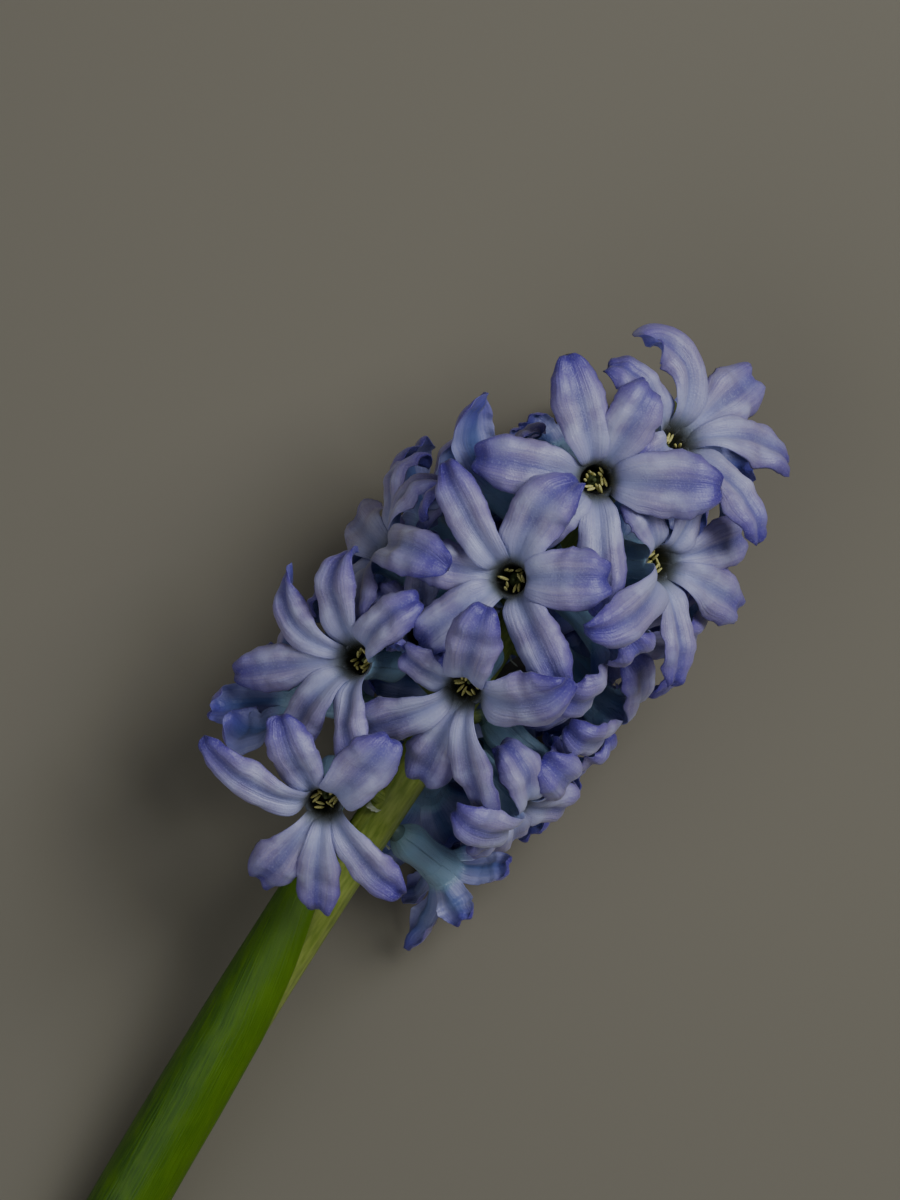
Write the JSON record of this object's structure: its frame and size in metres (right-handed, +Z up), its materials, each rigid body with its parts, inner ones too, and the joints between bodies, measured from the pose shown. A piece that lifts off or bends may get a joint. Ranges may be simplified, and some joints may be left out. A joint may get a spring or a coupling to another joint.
{
  "type": "hyacinth flower",
  "caption": "A cut stem of garden hyacinth lying on its side, with a dense head of pale blue starry florets on short stalks and one strap leaf clasping the stem.",
  "frame": {"origin": "centre of the footprint, on the surface that the stem lies on", "axes": "+X along the stem from its cut end to the tip of the flower head, +Y to the side that the stem bows away from, +Z up"},
  "size_m": [0.1936, 0.064, 0.0621],
  "materials": {
    "scape": "juicy yellow-green stem, faintly ridged, satin",
    "leaf": "dark green strap leaf with fine parallel veins, satin",
    "tepal": "pale lilac-blue tepals with a darker blue midrib and violet tips, waxy, slightly sparkling",
    "anther": "matt pale yellow anthers round an olive throat"
  },
  "bodies": {
    "root": {"scape": "scape", "leaf": "leaf", "floret_01": "tepal", "floret_02": "tepal", "floret_03": "tepal", "floret_04": "tepal", "floret_05": "tepal", "floret_06": "tepal", "floret_07": "tepal", "floret_08": "tepal", "floret_09": "tepal", "floret_10": "tepal", "floret_11": "tepal", "floret_12": "tepal", "floret_13": "tepal", "floret_14": "tepal", "floret_15": "tepal", "floret_16": "tepal", "floret_17": "tepal", "floret_18": "tepal", "floret_19": "tepal", "floret_20": "tepal", "floret_21": "tepal", "floret_22": "tepal", "floret_23": "tepal", "floret_24": "tepal", "floret_25": "tepal", "floret_26": "tepal", "floret_27": "tepal", "floret_28": "tepal", "stamens_01": "anther", "stamens_02": "anther", "stamens_03": "anther", "stamens_04": "anther", "stamens_05": "anther", "stamens_06": "anther", "stamens_07": "anther", "stamens_08": "anther", "stamens_09": "anther", "stamens_10": "anther", "stamens_11": "anther", "stamens_12": "anther", "stamens_13": "anther", "stamens_14": "anther", "stamens_15": "anther", "stamens_16": "anther", "stamens_17": "anther", "stamens_18": "anther", "stamens_19": "anther", "stamens_20": "anther", "stamens_21": "anther", "stamens_22": "anther", "stamens_23": "anther", "stamens_24": "anther", "stamens_25": "anther", "stamens_26": "anther", "stamens_27": "anther", "stamens_28": "anther"}
  },
  "joints": []
}
